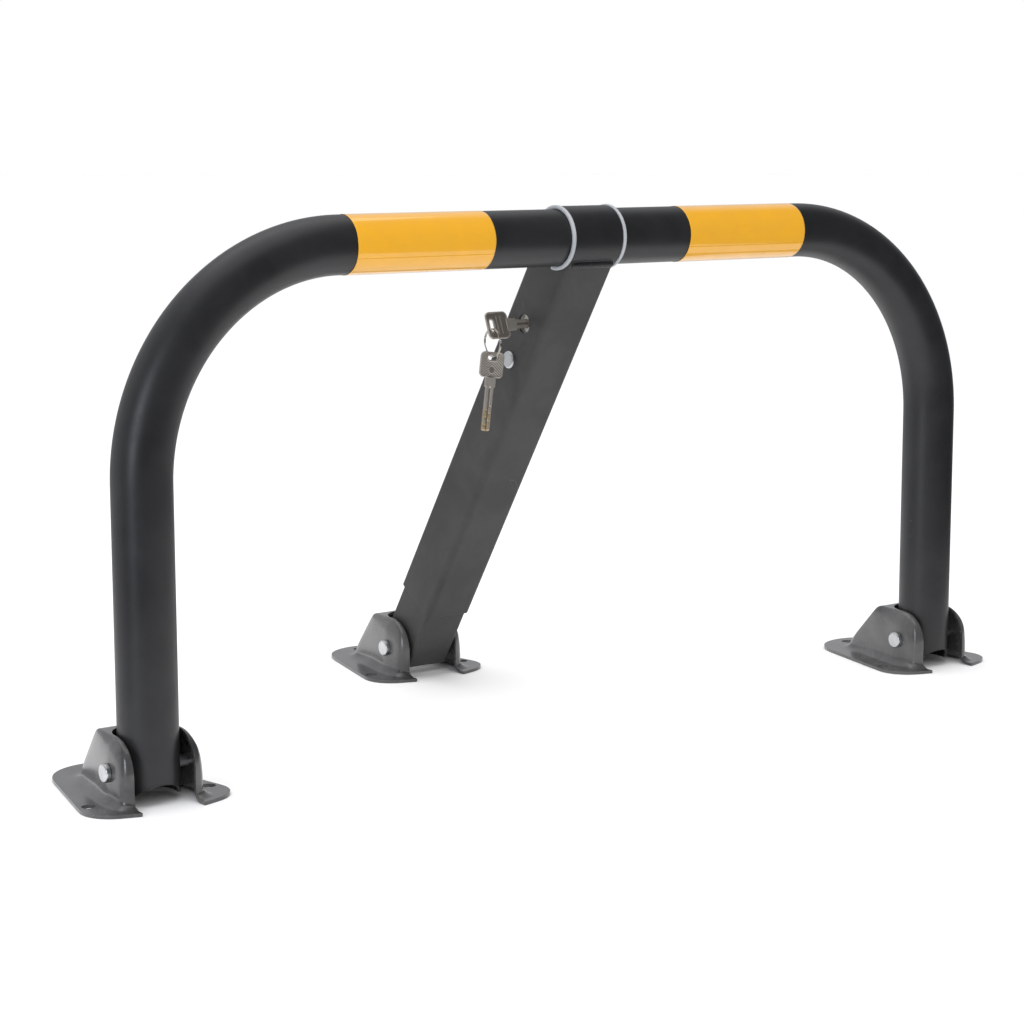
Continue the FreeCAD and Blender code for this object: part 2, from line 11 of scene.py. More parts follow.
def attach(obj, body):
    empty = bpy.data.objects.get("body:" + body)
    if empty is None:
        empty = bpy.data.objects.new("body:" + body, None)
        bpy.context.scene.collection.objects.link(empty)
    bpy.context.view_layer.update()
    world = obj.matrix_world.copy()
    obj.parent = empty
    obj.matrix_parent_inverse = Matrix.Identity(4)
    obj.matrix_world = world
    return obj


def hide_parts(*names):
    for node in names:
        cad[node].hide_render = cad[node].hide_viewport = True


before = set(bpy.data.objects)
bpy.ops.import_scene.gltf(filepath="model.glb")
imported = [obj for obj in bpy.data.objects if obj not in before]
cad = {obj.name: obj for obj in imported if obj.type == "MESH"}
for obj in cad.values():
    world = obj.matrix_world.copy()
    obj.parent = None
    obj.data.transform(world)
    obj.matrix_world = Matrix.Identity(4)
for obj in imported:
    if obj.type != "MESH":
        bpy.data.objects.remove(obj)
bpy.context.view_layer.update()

# ---- Room
# Pale paper floor under one broad soft box and a tall cool window at the left, as in a studio.
# Gloss picks up the paper near the lock; further out the room is dim in front and pale behind.
MM = 0.001
FLOOR_COLOUR = (0.9, 0.9, 0.905, 1)
FLOOR_ROUGHNESS = 0.8
PAPER_RADIUS = 0.9
FLOOR_RADIUS = 30.0
ROOM_WHITE = (1.0, 1.0, 1.0, 1)
ROOM_FILL = (1.12, 1.12, 1.12, 1)
ROOM_DIM = (0.05, 0.052, 0.057, 1)
ROOM_BACK = (0.62, 0.63, 0.65, 1)
SOFT_BOX = {"at": (-0.2, 0.1, 2.4), "to": (0, 0, 0.2), "size": (2.6, 2.2), "power": 20}
WINDOW = {"at": (-2.45, -1.1, 0.8), "to": (-0.44, -0.18, 0.3), "size": (0.32, 1.4), "power": 17,
          "colour": (0.84, 0.9, 1.0)}
CAMERA_EYE = Vector((-1.3259, -1.92767, 0.54351))
CAMERA_HEADING = math.radians(35.55)
CAMERA_DOWN = math.radians(8.93)
CAMERA_ROLL = math.radians(-0.088)
CAMERA_LENS = 85.0


def wire(tree, socket, value):
    """Links value to the socket if value is another node's output, or else sets it as a constant."""
    if isinstance(value, bpy.types.NodeSocket):
        tree.links.new(value, socket)
    else:
        socket.default_value = value


def add_node(tree, kind, inputs=None, **settings):
    """Adds a shader node with its settings and wires its inputs."""
    node = tree.nodes.new("ShaderNode" + kind)
    for key, value in settings.items():
        setattr(node, key, value)
    for key, value in (inputs or {}).items():
        wire(tree, node.inputs[key], value)
    return node


def noise(tree, spot, scale, detail=2.0, roughness=0.5, distortion=0.0):
    """A noise value from 0 to 1; scale is in waves per metre."""
    settings = {"Vector": spot, "Scale": scale, "Detail": detail,
                "Roughness": roughness, "Distortion": distortion}
    return add_node(tree, "TexNoise", settings).outputs["Fac"]


def between(tree, value, low, high, out_low=0.0, out_high=1.0):
    """Maps low..high onto out_low..out_high, smoothly and clamped."""
    limits = {"Value": value, "From Min": low, "From Max": high,
              "To Min": out_low, "To Max": out_high}
    return add_node(tree, "MapRange", limits, interpolation_type="SMOOTHSTEP").outputs["Result"]


def sum_up(tree, operation, a, b):
    """One arithmetic step on two values."""
    return add_node(tree, "Math", {0: a, 1: b}, operation=operation).outputs[0]


def blend_colour(tree, mask, a, b):
    """Colour a where the mask is 0 and b where it is 1."""
    return add_node(tree, "Mix", {0: mask, 6: a, 7: b}, data_type="RGBA").outputs[2]


def start_material(name, **constants):
    """A node material; constants set the shader's own sockets, written with _ for a space."""
    material = bpy.data.materials.new(name)
    material.use_nodes = True
    tree = material.node_tree
    shader = tree.nodes["Principled BSDF"]
    for key, value in constants.items():
        shader.inputs[key.replace("_", " ")].default_value = value
    return material, tree, shader


def grid_mesh(name, points, closed_u=False, closed_v=False, flip=False):
    """Quads between neighbours in an (m, n, 3) array of points in mm, joined round where closed."""
    m, n = points.shape[:2]
    index = np.arange(m * n).reshape(m, n)
    if closed_u:
        index = np.vstack([index, index[:1]])
    if closed_v:
        index = np.hstack([index, index[:, :1]])
    corners = [index[:-1, :-1], index[1:, :-1], index[1:, 1:], index[:-1, 1:]]
    quads = np.stack(corners[::-1] if flip else corners, -1).reshape(-1, 4)
    mesh = bpy.data.meshes.new(name)
    mesh.from_pydata((points.reshape(-1, 3) * MM).tolist(), [], quads.tolist())
    mesh.polygons.foreach_set("use_smooth", np.ones(len(mesh.polygons), bool))
    mesh.update()
    return mesh


def place(name, mesh, material):
    """Puts a finished mesh in the scene as a named piece with its material."""
    piece = bpy.data.objects.new(name, mesh)
    bpy.context.scene.collection.objects.link(piece)
    mesh.materials.clear()
    mesh.materials.append(material)
    return piece


def floor_ring(name, inner, outer, material):
    """A flat ring at floor level: points at radius r and angle a, for r from inner to outer."""
    r = np.array([inner, outer]) / MM
    a = np.linspace(0, 2 * np.pi, 96, endpoint=False)[:, None]
    points = np.stack([r * np.cos(a), r * np.sin(a), 0 * r * a], -1)
    ring = place(name, grid_mesh(name, points, closed_u=True, flip=True), material)
    return ring


def add_soft_light(name, at, to, size, power, colour=(1, 1, 1)):
    """A rectangular area light at one point, turned to face another."""
    light = bpy.data.lights.new(name, "AREA")
    light.shape = "RECTANGLE"
    light.size, light.size_y = size
    light.energy = power
    light.color = colour
    lamp = bpy.data.objects.new(name, light)
    lamp.location = at
    lamp.rotation_euler = (Vector(to) - Vector(at)).to_track_quat("-Z", "Y").to_euler()
    bpy.context.scene.collection.objects.link(lamp)
    return lamp


paper, paper_tree, paper_shader = start_material("floor_paper", Roughness=FLOOR_ROUGHNESS,
                                                Specular_IOR_Level=0.0)
paper_spot = add_node(paper_tree, "TexCoord").outputs["Object"]
paper_tone = blend_colour(paper_tree, noise(paper_tree, paper_spot, 2.0), FLOOR_COLOUR,
                          tuple(0.985 * c for c in FLOOR_COLOUR[:3]) + (1,))
wire(paper_tree, paper_shader.inputs["Base Color"], paper_tone)
floor_ring("floor_near", 0.0, PAPER_RADIUS, paper)
floor_far = floor_ring("floor_far", PAPER_RADIUS, FLOOR_RADIUS, paper)
floor_far.visible_glossy = False
add_soft_light("soft_box", **SOFT_BOX)
add_soft_light("window", **WINDOW)

room = bpy.data.worlds.new("room")
room.use_nodes = True
bpy.context.scene.world = room
air = room.node_tree
ray = add_node(air, "LightPath").outputs
away = add_node(air, "SeparateXYZ", {0: add_node(air, "TexCoord").outputs["Generated"]}).outputs["Y"]
gloss_colour = blend_colour(air, between(air, away, 0.0, 0.55), ROOM_DIM, ROOM_BACK)
room_colour = blend_colour(air, ray["Is Glossy Ray"], ROOM_FILL, gloss_colour)
room_colour = blend_colour(air, ray["Is Camera Ray"], room_colour, ROOM_WHITE)
wire(air, air.nodes["Background"].inputs["Color"], room_colour)
bpy.context.scene.view_settings.view_transform = "Standard"

camera = bpy.data.objects.new("camera", bpy.data.cameras.new("camera"))
camera.data.lens = CAMERA_LENS
camera.data.clip_end = 100
camera.location = CAMERA_EYE
facing = Euler((math.radians(90) - CAMERA_DOWN, 0, -CAMERA_HEADING)).to_matrix()
camera.rotation_euler = (facing @ Matrix.Rotation(CAMERA_ROLL, 3, "Z")).to_euler()
bpy.context.scene.collection.objects.link(camera)
bpy.context.scene.camera = camera

# ---- Pressed feet: left, right and prop
# Each is one piece of 3 mm sheet steel, deep-drawn into an open dome on a flat flange, drilled
# for three ground anchors and a cross pin, and coated in a semi-gloss charcoal enamel.
PIVOT_Z = 28.7
HOOP_Y = -180.25
FOOT_PLACES = {"left": (-445, HOOP_Y), "right": (445, HOOP_Y), "prop": (0, 94.75)}
SHEET = 3.0
CHEEK_X = 38.0
SLOT_X = 28.0
SLOT_CENTRE_Y = 3.0
FRONT_REACH = 29.0
CORNER_RADIUS = 9.0
BACK_RADIUS = 22.0
BACK_CENTRE_Y = 78.0
SHOULDER = {"y": 34.0, "radius": 10.0, "slope": math.radians(47)}
DOME_BACK_Y = 100.0
FLANGE_TIP = (30.0, -40.5, 2.0)
FLANGE_LOBE = (37.0, -10.0, 29.0)
FLANGE_BACK = (0.0, 84.0, 44.0)
EDGE_ROUND = 11.0
FLARE = 6.5
SCUFF_STRENGTH = 0.8
EDGE_STRENGTH = 0.5
PRESSED_SOFTNESS = {"along": 2.3, "around": 1.6}
ANCHOR_HOLES = [(-55, 0), (55, 0), (0, 112)]
ANCHOR_HOLE_RADIUS = 6.0
PIN_HOLE_RADIUS = 5.05
STATION_COUNTS = (16, 12, 26, 16)
ACROSS = 84
ENAMEL = (0.026, 0.026, 0.0275, 1)
ENAMEL_PALE = (0.082, 0.08, 0.08, 1)
SCUFF_BROWN = (0.16, 0.125, 0.098, 1)


def make_group(name, inputs, outputs):
    """An empty shader node group with float or vector sockets; returns it with its end nodes."""
    group = bpy.data.node_groups.new(name, "ShaderNodeTree")
    for label, kind, default in inputs:
        socket = group.interface.new_socket(label, in_out="INPUT", socket_type="NodeSocket" + kind)
        if kind == "Float":
            socket.default_value = default
    for label, kind in outputs:
        group.interface.new_socket(label, in_out="OUTPUT", socket_type="NodeSocket" + kind)
    start = group.nodes.new("NodeGroupInput")
    end = group.nodes.new("NodeGroupOutput")
    return group, start.outputs, end.inputs


def use_group(tree, group, **inputs):
    """Places a node group in a material with its own values and returns its outputs."""
    node = tree.nodes.new("ShaderNodeGroup")
    node.node_tree = group
    for label, value in inputs.items():
        wire(tree, node.inputs[label.replace("_", " ")], value)
    return node.outputs


grain, given, out = make_group(
    "coating_grain",
    [("Spot", "Vector", None), ("Grain Scale", "Float", 900.0), ("Cloud Scale", "Float", 14.0)],
    [("Height", "Float"), ("Cloud", "Float"), ("Fleck", "Float")])
fine = noise(grain, given["Spot"], given["Grain Scale"], 3.0, 0.6)
coarse = noise(grain, given["Spot"], sum_up(grain, "MULTIPLY", given["Grain Scale"], 0.3), 1.0)
wire(grain, out["Height"], sum_up(grain, "ADD", fine, sum_up(grain, "MULTIPLY", coarse, 0.7)))
wire(grain, out["Cloud"], noise(grain, given["Spot"], given["Cloud Scale"], 4.0, 0.6, 0.4))
fleck_cell = add_node(grain, "TexVoronoi", {
    "Vector": given["Spot"], "Scale": sum_up(grain, "MULTIPLY", given["Grain Scale"], 0.25)})
fleck_size = between(grain, fleck_cell.outputs["Color"], 0.86, 1.0, 0.0, 0.16)
wire(grain, out["Fleck"], sum_up(grain, "LESS_THAN", fleck_cell.outputs["Distance"], fleck_size))

scuffs, given, out = make_group(
    "scuffs",
    [("Spot", "Vector", None), ("Line Scale", "Float", 60.0), ("Patch Scale", "Float", 16.0)],
    [("Scratch", "Float"), ("Patch", "Float")])
wander = add_node(scuffs, "TexNoise", {"Vector": given["Spot"], "Scale": given["Patch Scale"]})
bent = add_node(scuffs, "VectorMath", {0: wander.outputs["Color"], 1: (0.05, 0.05, 0.05)},
                operation="MULTIPLY_ADD")
wire(scuffs, bent.inputs[2], given["Spot"])
crack = add_node(scuffs, "TexVoronoi", {"Vector": bent.outputs[0], "Scale": given["Line Scale"]},
                 feature="DISTANCE_TO_EDGE")
line = between(scuffs, crack.outputs["Distance"], 0.006, 0.022, 1.0, 0.0)
patch = between(scuffs, noise(scuffs, given["Spot"], given["Patch Scale"], 5.0, 0.7), 0.56, 0.7)
wire(scuffs, out["Scratch"], sum_up(scuffs, "MULTIPLY", line, patch))
wire(scuffs, out["Patch"], patch)

edges, given, out = make_group("edge_wear", [("Width", "Float", 0.001)],
                               [("Edge", "Float"), ("Normal", "Vector")])
rounded = add_node(edges, "Bevel", {"Radius": given["Width"]}, samples=6)
flat = add_node(edges, "NewGeometry")
turn = add_node(edges, "VectorMath", {0: rounded.outputs[0], 1: flat.outputs["Normal"]},
                operation="DOT_PRODUCT")
wire(edges, out["Edge"], between(edges, turn.outputs["Value"], 0.995, 0.85))
wire(edges, out["Normal"], rounded.outputs[0])


def coated(name, colour, pale, grain_scale, bump, gloss, scuff=None, edge_width=0.0006,
           edge_pale=None, fleck=None, **constants):
    """A sprayed coating: clouded colour and gloss, orange-peel grain, scuffs and thin edges."""
    material, tree, shader = start_material(name, **constants)
    spot = add_node(tree, "TexCoord").outputs["Object"]
    coat = use_group(tree, grain, Spot=spot, Grain_Scale=grain_scale)
    wear = use_group(tree, scuffs, Spot=spot)
    edge = use_group(tree, edges, Width=edge_width)
    tone = blend_colour(tree, between(tree, coat["Cloud"], 0.32, 0.68), colour, pale)
    if fleck:
        tone = blend_colour(tree, coat["Fleck"], tone, fleck)
    if scuff:
        tone = blend_colour(tree, sum_up(tree, "MULTIPLY", wear["Scratch"], SCUFF_STRENGTH), tone, scuff)
    worn_edge = sum_up(tree, "MULTIPLY", edge["Edge"], EDGE_STRENGTH)
    tone = blend_colour(tree, worn_edge, tone, edge_pale or pale)
    wire(tree, shader.inputs["Base Color"], tone)
    smear = sum_up(tree, "MULTIPLY_ADD", coat["Cloud"], gloss[1] - gloss[0])
    wire(tree, smear.node.inputs[2], gloss[0])
    rough = sum_up(tree, "MULTIPLY_ADD", wear["Patch"], 0.06)
    wire(tree, rough.node.inputs[2], smear)
    wire(tree, shader.inputs["Roughness"], rough)
    relief = add_node(tree, "Bump", {"Height": coat["Height"], "Normal": edge["Normal"],
                                     "Strength": bump, "Distance": 0.0002})
    wire(tree, shader.inputs["Normal"], relief.outputs[0])
    return material


def arc(x, y, radius, start, end, count=24):
    """Points (x, y) + radius (cos a, sin a) for a from start to end in degrees."""
    a = np.radians(np.linspace(start, end, count))
    return np.stack([x + radius * np.cos(a), y + radius * np.sin(a)], -1)


def spread(parts, counts):
    """Each part of an outline cut into equal steps along its length, and the parts joined up."""
    made = []
    for part, count in zip(parts, counts):
        run = np.r_[0, np.cumsum(np.hypot(*np.diff(part, axis=0).T))]
        step = np.linspace(0, run[-1], count, endpoint=False)
        made.append(np.stack([np.interp(step, run, part[:, 0]), np.interp(step, run, part[:, 1])], -1))
    return np.vstack(made + [parts[-1][-1:]])


def dome_height(y):
    """Height of the dome's crown: round about the pin, flat, a round shoulder, a straight back."""
    front = PIVOT_Z + np.sqrt(np.clip(FRONT_REACH**2 - np.minimum(y, 0)**2, 0, None))
    r, slope = SHOULDER["radius"], SHOULDER["slope"]
    past = np.clip((y - SHOULDER["y"]) / r, 0, 1)
    shoulder = PIVOT_Z + FRONT_REACH - r + r * np.sqrt(1 - past**2)
    back = (DOME_BACK_Y - y) / math.tan(slope)
    crown = np.where(y < SHOULDER["y"], front, np.minimum(shoulder, back))
    return np.maximum(np.where(y > SHOULDER["y"] + r * math.cos(slope), back, crown), SHEET)


def foot_surface():
    """Top face of a foot. Along u the outlines of flange, dome base and opening run from the front
    tip round the back; along v a point goes in across the flange, which stops FLARE short of the
    base, up the wall as a superellipse (1 - (1 - d / round) ** 3) ** (1 / 3) of its depth d inside
    the base line, and over the crown. The rows are then evened out along v and smoothed both ways,
    which gives the pressed fillets."""
    lobe_x, lobe_y, lobe_r = FLANGE_LOBE
    back_x, back_y, back_r = FLANGE_BACK
    flange = spread([
        np.vstack([[[SLOT_X, -42.5]], arc(*FLANGE_TIP, -90, -72.5), arc(*FLANGE_LOBE, -72.5, -35)]),
        arc(lobe_x, lobe_y, lobe_r, -35, 8),
        np.vstack([arc(lobe_x, lobe_y, lobe_r, 8, 13), arc(back_x, back_y, back_r, 13, 14)]),
        arc(back_x, back_y, back_r, 14, 90)], STATION_COUNTS)
    taper = math.degrees(math.atan2(CHEEK_X - BACK_RADIUS, BACK_CENTRE_Y))
    base = spread([
        np.vstack([[[SLOT_X, -FRONT_REACH]],
                   arc(CHEEK_X - CORNER_RADIUS, CORNER_RADIUS - FRONT_REACH, CORNER_RADIUS, -90, 0)]),
        np.array([[CHEEK_X, CORNER_RADIUS - FRONT_REACH], [CHEEK_X, 0]]),
        np.vstack([arc(CHEEK_X - BACK_RADIUS, 0, BACK_RADIUS, 0, taper),
                   arc(0, BACK_CENTRE_Y, BACK_RADIUS, taper, taper + 1)]),
        arc(0, BACK_CENTRE_Y, BACK_RADIUS, taper + 1, 90)], STATION_COUNTS)
    side = sum(STATION_COUNTS[:2])
    straight = np.stack([np.full(side, SLOT_X), base[:side, 1]], -1)
    rim = np.vstack([straight, spread([
        np.vstack([[[SLOT_X, 0]], arc(0, SLOT_CENTRE_Y, SLOT_X, 0, 45)]),
        arc(0, SLOT_CENTRE_Y, SLOT_X, 45, 90)], STATION_COUNTS[2:])])
    base_in = (rim - base)[:, None]
    width = np.linalg.norm(base_in, axis=-1)
    rise = np.radians(np.linspace(2, 90, 30))
    depth = np.minimum(EDGE_ROUND, width) * (1 - np.cos(rise) ** (2 / 3))
    depth = np.hstack([depth, depth[:, -1:] + (width - depth[:, -1:]) * np.linspace(0.04, 1, 26)])
    lift = np.r_[np.sin(rise) ** (2 / 3), np.ones(26)]
    plan = base[:, None] + base_in * (depth / np.maximum(width, 0.01))[..., None]
    plan = np.where(width[..., None] < 0.01, base[:, None], plan)
    height = SHEET + (dome_height(plan[..., 1]) - SHEET) * lift
    ledge = np.linspace(0, 1, 12)[:, None]
    inward = base - flange
    reach = np.linalg.norm(inward, axis=-1, keepdims=True)
    inward = inward * np.maximum(1 - FLARE / reach, 0.5)
    apron = flange[:, None] + inward[:, None] * ledge
    rows = np.concatenate([
        np.concatenate([apron, np.full(apron.shape[:2] + (1,), SHEET)], -1),
        np.concatenate([plan, height[..., None]], -1)], 1)
    rows = even_out(rows, ACROSS)
    rows = np.concatenate([rows, rows[-2::-1] * (-1, 1, 1)])
    rows = smooth_rows(rows, PRESSED_SOFTNESS["along"], 5)
    return smooth_rows(rows.swapaxes(0, 1), PRESSED_SOFTNESS["around"], 8).swapaxes(0, 1)


def even_out(rows, count):
    """The points of every row moved to equal steps along that row's length."""
    run = np.cumsum(np.linalg.norm(np.diff(rows, axis=1), axis=-1), 1)
    run = np.hstack([np.zeros((len(rows), 1)), run + np.arange(run.shape[1]) * 1e-6])
    far = (run[:, -1].max() + 1) * np.arange(len(rows))[:, None]
    step = np.linspace(0, 1, count) * run[:, -1:] + far
    flat = [np.interp(step.ravel(), (run + far).ravel(), rows[..., k].ravel()) for k in range(3)]
    return np.stack(flat, -1).reshape(len(rows), count, 3)


def smooth_rows(rows, width, hold):
    """Each point averaged with its neighbours along the row by a bell curve; the ends hold."""
    count = rows.shape[1]
    apart = np.arange(count)[:, None] - np.arange(count)
    bell = np.exp(-0.5 * (apart / width) ** 2)
    bell /= bell.sum(1, keepdims=True)
    ease = np.clip(np.minimum(np.arange(count), np.arange(count)[::-1]) / hold, 0, 1)
    soft = np.einsum("jk,ikc->ijc", bell, rows)
    return rows + (soft - rows) * ease[:, None]


def drill_rods(name, rods):
    """Forty-sided rods (end, end, radius) in mm, as one cutter for holes."""
    tool = bmesh.new()
    for start, end, radius in rods:
        run = Vector(end) - Vector(start)
        turn = run.to_track_quat("Z", "Y").to_matrix().to_4x4()
        turn.translation = (Vector(start) + Vector(end)) / 2 * MM
        bmesh.ops.create_cone(tool, cap_ends=True, segments=40, radius1=radius * MM,
                              radius2=radius * MM, depth=run.length * MM, matrix=turn)
    mesh = bpy.data.meshes.new(name)
    tool.to_mesh(mesh)
    tool.free()
    return mesh


def sheet_metal(name, mesh, thickness, rods):
    """A surface given a wall inwards and drilled, with every step baked into the mesh."""
    blank = bpy.data.objects.new(name, mesh)
    bpy.context.scene.collection.objects.link(blank)
    wall = blank.modifiers.new("wall", "SOLIDIFY")
    wall.thickness = thickness * MM
    wall.offset = -1
    wall.use_even_offset = True
    tool = bpy.data.objects.new("drill", drill_rods("drill", rods))
    bpy.context.scene.collection.objects.link(tool)
    holes = blank.modifiers.new("holes", "BOOLEAN")
    holes.operation = "DIFFERENCE"
    holes.object = tool
    holes.solver = "EXACT"
    seen = blank.evaluated_get(bpy.context.evaluated_depsgraph_get())
    made = bpy.data.meshes.new_from_object(seen)
    made.name = name
    bpy.data.objects.remove(blank)
    bpy.data.objects.remove(tool)
    sharp = bmesh.new()
    sharp.from_mesh(made)
    bmesh.ops.remove_doubles(sharp, verts=sharp.verts, dist=0.00002)
    for edge in sharp.edges:
        edge.smooth = edge.calc_face_angle(0) < math.radians(32)
    sharp.to_mesh(made)
    sharp.free()
    made.polygons.foreach_set("use_smooth", np.ones(len(made.polygons), bool))
    return made


def moved(mesh, name, x, y):
    """A copy of a mesh, shifted across the floor by x and y millimetres."""
    copy = mesh.copy()
    copy.name = name
    spots = np.zeros(len(copy.vertices) * 3, np.float32)
    copy.vertices.foreach_get("co", spots)
    spots = spots.reshape(-1, 3) + np.array([x, y, 0]) * MM
    copy.vertices.foreach_set("co", spots.ravel())
    copy.update()
    return copy


foot_enamel = coated("foot_enamel", ENAMEL, ENAMEL_PALE, 700.0, 0.12, (0.16, 0.34),
                     scuff=SCUFF_BROWN, edge_pale=(0.17, 0.165, 0.16, 1), Specular_IOR_Level=0.6,
                     Coat_Weight=0.25, Coat_Roughness=0.15)
foot_rods = [((x, y, -5), (x, y, 10), ANCHOR_HOLE_RADIUS) for x, y in ANCHOR_HOLES]
foot_rods.append(((-60, 0, PIVOT_Z), (60, 0, PIVOT_Z), PIN_HOLE_RADIUS))
foot_blank = sheet_metal("foot_blank", grid_mesh("foot_face", foot_surface()), SHEET, foot_rods)
for side, (foot_x, foot_y) in FOOT_PLACES.items():
    foot = place("pressed_foot_" + side, moved(foot_blank, "foot_" + side, foot_x, foot_y), foot_enamel)
    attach(foot, "feet")
    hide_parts("foot_" + side)

# ---- Pivot pins and washers
# Cold-headed steel pins, bright zinc plated: a domed head outside one cheek, and a tail peened
# over a plain washer outside the other. Each foot has one.
ZINC = (0.72, 0.73, 0.74, 1)
ZINC_DULL = (0.5, 0.51, 0.52, 1)


def plated(name, bright, dull, gloss, line_tone, edge_width=0.0005):
    """Plated metal: clouded brightness and gloss, a fine crystal grain and hairline scratches."""
    material, tree, shader = start_material(name, Metallic=1.0)
    spot = add_node(tree, "TexCoord").outputs["Object"]
    coat = use_group(tree, grain, Spot=spot, Grain_Scale=1500.0, Cloud_Scale=120.0)
    wear = use_group(tree, scuffs, Spot=spot, Line_Scale=260.0, Patch_Scale=90.0)
    edge = use_group(tree, edges, Width=edge_width)
    tone = blend_colour(tree, coat["Cloud"], bright, dull)
    tone = blend_colour(tree, sum_up(tree, "MULTIPLY", wear["Scratch"], 0.6), tone, line_tone)
    wire(tree, shader.inputs["Base Color"], tone)
    wire(tree, shader.inputs["Roughness"], between(tree, coat["Cloud"], 0.2, 0.8, *gloss))
    relief = add_node(tree, "Bump", {"Height": coat["Height"], "Normal": edge["Normal"],
                                     "Strength": 0.1, "Distance": 0.0001})
    wire(tree, shader.inputs["Normal"], relief.outputs[0])
    return material


def finish_nodes(material, *names):
    """Gives CAD nodes their finish."""
    for name in names:
        cad[name].data.materials.clear()
        cad[name].data.materials.append(material)


zinc = plated("zinc_plate", ZINC, ZINC_DULL, (0.28, 0.45), (0.35, 0.34, 0.33, 1))
finish_nodes(zinc, *["pivot_pin_" + side for side in FOOT_PLACES])
finish_nodes(zinc, *["pin_washer_" + side for side in FOOT_PLACES])

# ---- Hoop
# One length of 51 mm steel tube, mandrel bent twice, its leg ends mitred to clear the ground as
# it folds, cross-drilled for the pins, and finished in satin black powder coat.
TUBE_RADIUS = 25.5
TUBE_WALL = 2.5
HALF_SPACING = 445.0
BAR_Z = 450.0
BEND_RADIUS = 188.0
LEG_END_Z = 4.7
MITRE = {"rise": 12.8, "depth": 16.5}
HOOP_STEPS = (44, 72, 56)
HOOP_SIDES = 120
BLACK = (0.0105, 0.0108, 0.0118, 1)
BLACK_PALE = (0.0165, 0.0168, 0.018, 1)
BLACK_FLECK = (0.09, 0.09, 0.095, 1)


def hoop_surface():
    """A circle of the tube's radius carried along leg, quarter bend and bar, then mirrored.
    Its first ring is bent up to the mitre: z = end + rise * (cut - y) / depth where y is below cut."""
    leg_steps, bend_steps, bar_steps = HOOP_STEPS
    around = np.linspace(0, 2 * np.pi, HOOP_SIDES, endpoint=False)
    out, back = np.cos(around), np.sin(around)
    low, inner = BAR_Z - BEND_RADIUS, HALF_SPACING - BEND_RADIUS
    cut = MITRE["depth"] - TUBE_RADIUS
    end_z = LEG_END_Z + np.clip(cut - TUBE_RADIUS * back, 0, None) * MITRE["rise"] / MITRE["depth"]
    up = np.linspace(0, 1, leg_steps, endpoint=False)[:, None]
    leg = np.stack([-HALF_SPACING - TUBE_RADIUS * out + 0 * up, TUBE_RADIUS * back + 0 * up,
                    end_z + (low - end_z) * up], -1)
    turn = np.linspace(0, np.pi / 2, bend_steps, endpoint=False)[:, None]
    reach = BEND_RADIUS + TUBE_RADIUS * out
    bend = np.stack([-inner - reach * np.cos(turn), TUBE_RADIUS * back + 0 * turn,
                     low + reach * np.sin(turn)], -1)
    x = np.linspace(-inner, 0, bar_steps)[:, None]
    bar = np.stack([x + 0 * out, TUBE_RADIUS * back + 0 * x, BAR_Z + TUBE_RADIUS * out + 0 * x], -1)
    half = np.concatenate([leg, bend, bar])
    whole = np.concatenate([half, half[-2::-1] * (-1, 1, 1)])
    return whole + (0, HOOP_Y, 0)


black_coat = coated("black_powder", BLACK, BLACK_PALE, 1000.0, 0.22, (0.36, 0.46),
                    fleck=BLACK_FLECK, edge_pale=(0.03, 0.03, 0.032, 1), Specular_IOR_Level=0.5)
hoop_rods = [((x - 40, HOOP_Y, PIVOT_Z), (x + 40, HOOP_Y, PIVOT_Z), PIN_HOLE_RADIUS)
             for x in (-HALF_SPACING, HALF_SPACING)]
hoop_mesh = sheet_metal("hoop", grid_mesh("hoop_face", hoop_surface(), closed_v=True),
                        TUBE_WALL, hoop_rods)
hoop = place("bent_hoop", hoop_mesh, black_coat)
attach(hoop, "hoop")
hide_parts("hoop_tube")

# ---- Reflective tapes
# Two bands of glossy yellow-orange sheeting, cut by hand and wrapped once round the bar with a
# short overlap underneath; the clear face ripples slightly over the adhesive.
TAPE_SPANS = {"left": (-252.5, -111.5), "right": (107.0, 248.0)}
TAPE_FOOT_RADIUS = 25.66
TAPE_TOP_RADIUS = 25.80
TAPE_FILM = 0.09
TAPE_OVERLAP = math.radians(7)
TAPE_SEAM = math.radians(238)
TAPE_YELLOW = (0.80, 0.385, 0.007, 1)
TAPE_DEEP = (0.67, 0.325, 0.005, 1)
TAPE_DIRT = (0.42, 0.2, 0.03, 1)


def tape_surface(x0, x1, phase):
    """A sleeve whose radius winds up from foot to top over one turn and an overlap, so its end
    lies on its start; its cut edges and its face wander by sums of slow sine waves."""
    wind = np.linspace(0, 2 * np.pi + TAPE_OVERLAP, 220)[:, None]
    angle = TAPE_SEAM + wind
    edge = 0.35 + 0.2 * np.sin(2 * angle + phase) + 0.12 * np.sin(5 * angle + 2 * phase)
    share = np.linspace(0, 1, 150)
    x = (x0 + edge) + share * (x1 - x0 - 2 * edge)
    swell = 0.010 * np.sin(x / 9 + phase + 2 * angle) + 0.008 * np.sin(x / 23 - 3 * angle + phase)
    swell = swell + 0.005 * np.sin(x / 4.1 + 5 * angle)
    radius = TAPE_FOOT_RADIUS + (TAPE_TOP_RADIUS - TAPE_FOOT_RADIUS - 0.02) * wind / wind[-1] + swell
    return np.stack([x, HOOP_Y + radius * np.sin(angle), BAR_Z + radius * np.cos(angle)], -1)


